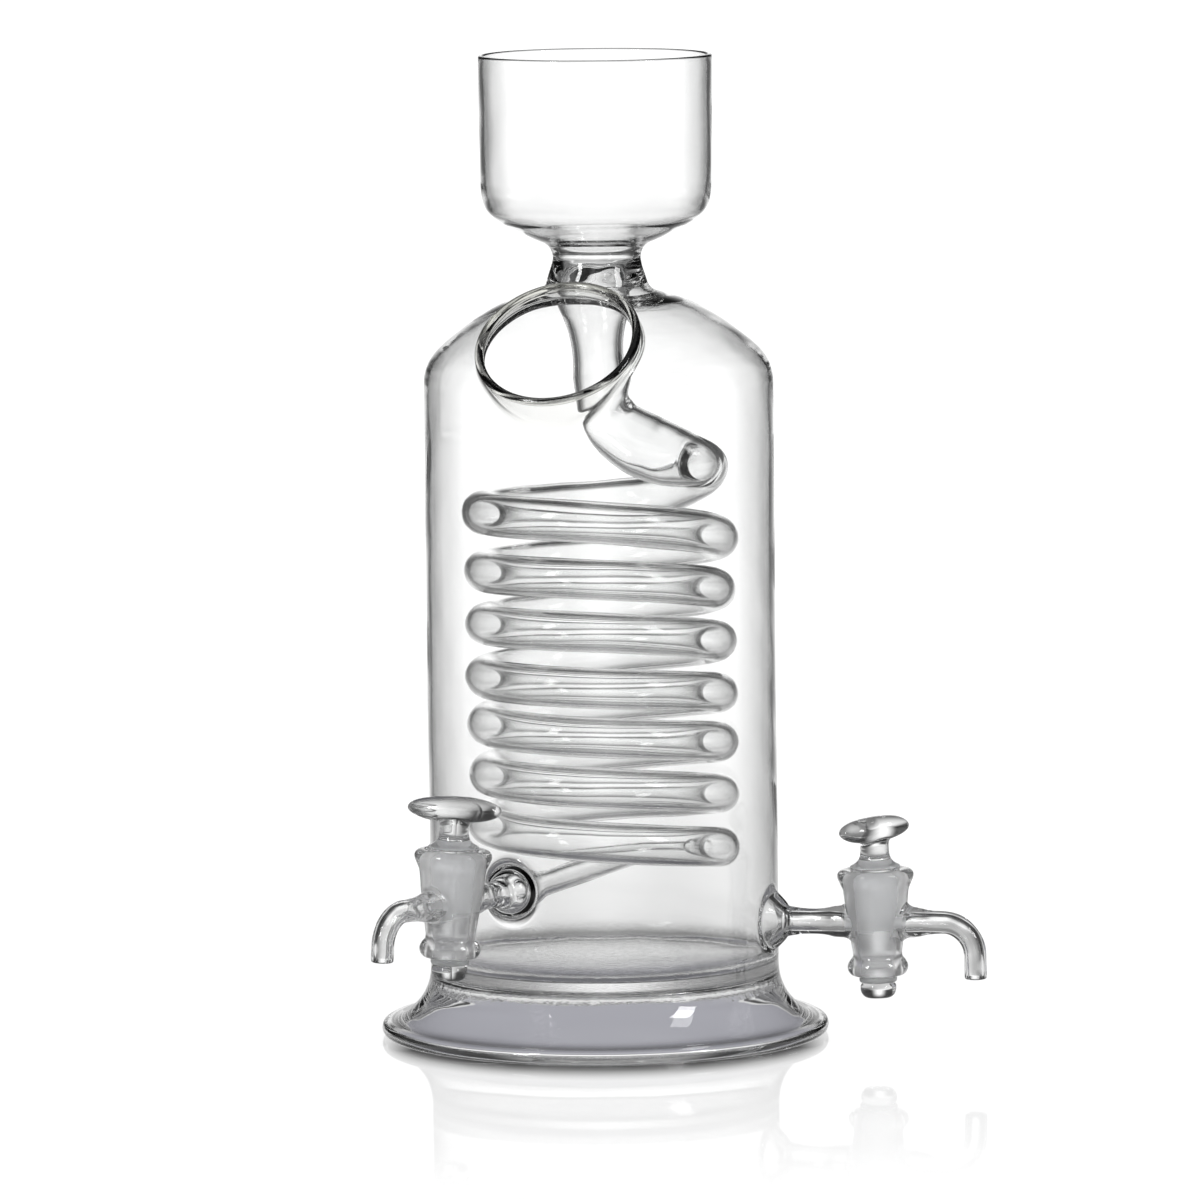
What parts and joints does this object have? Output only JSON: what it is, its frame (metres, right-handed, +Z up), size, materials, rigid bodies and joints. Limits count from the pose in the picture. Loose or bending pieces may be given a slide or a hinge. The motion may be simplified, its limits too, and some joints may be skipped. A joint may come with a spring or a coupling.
{
  "type": "glass drink chiller and dispenser",
  "caption": "Hand-blown glass chilling dispenser: funnel bowl, inner cooling coil in an ice-water jacket, slanted ice port, flared foot and ground-glass taps that turn.",
  "frame": {"origin": "the vessel's axis on the plane that the foot's ground flat stands on", "axes": "+Z up along the vessel's axis; -Y is the front, where the ice port faces; +X is the side of the drain tap"},
  "size_m": [0.2257, 0.2102, 0.366],
  "materials": {
    "clear_glass": "clear, fire-polished",
    "ground_glass": "clear outside, finely ground on the tapered seat",
    "silicone": "translucent, satin"
  },
  "bodies": {
    "vessel": {"funnel_bowl": "clear_glass", "neck_sleeve": "clear_glass", "drop_tube": "clear_glass", "lead_in_tube": "clear_glass", "coil_turn_1": "clear_glass", "coil_turn_2": "clear_glass", "coil_turn_3": "clear_glass", "coil_turn_4": "clear_glass", "coil_turn_5": "clear_glass", "coil_turn_6": "clear_glass", "coil_turn_7": "clear_glass", "lead_out_tube": "clear_glass", "vessel_wall": "clear_glass", "vessel_shoulder": "clear_glass", "vessel_floor": "clear_glass", "foot_skirt": "clear_glass", "foot_rim": "clear_glass", "ice_port_collar": "clear_glass", "ice_port_rim": "clear_glass", "outlet_boss": "clear_glass", "outlet_stem": "clear_glass", "outlet_barrel": "ground_glass", "outlet_spout": "clear_glass", "drain_boss": "clear_glass", "drain_stem": "clear_glass", "drain_barrel": "ground_glass", "drain_spout": "clear_glass"},
    "outlet_tap_plug": {"outlet_plug": "ground_glass", "outlet_handle": "clear_glass", "outlet_retaining_ring": "silicone"},
    "drain_tap_plug": {"drain_plug": "ground_glass", "drain_handle": "clear_glass", "drain_retaining_ring": "silicone"}
  },
  "joints": [
    {"name": "outlet_tap_turn", "type": "hinge", "parent": "vessel", "child": "outlet_tap_plug", "pos_m": [-0.0557, -0.08948, 0.062], "axis": [0.0448, -0.0073, 0.999], "continuous": true},
    {"name": "drain_tap_turn", "type": "hinge", "parent": "vessel", "child": "drain_tap_plug", "pos_m": [0.10079, -0.03082, 0.0452], "axis": [-0.0217, 0.0066, 0.9997], "continuous": true}
  ]
}
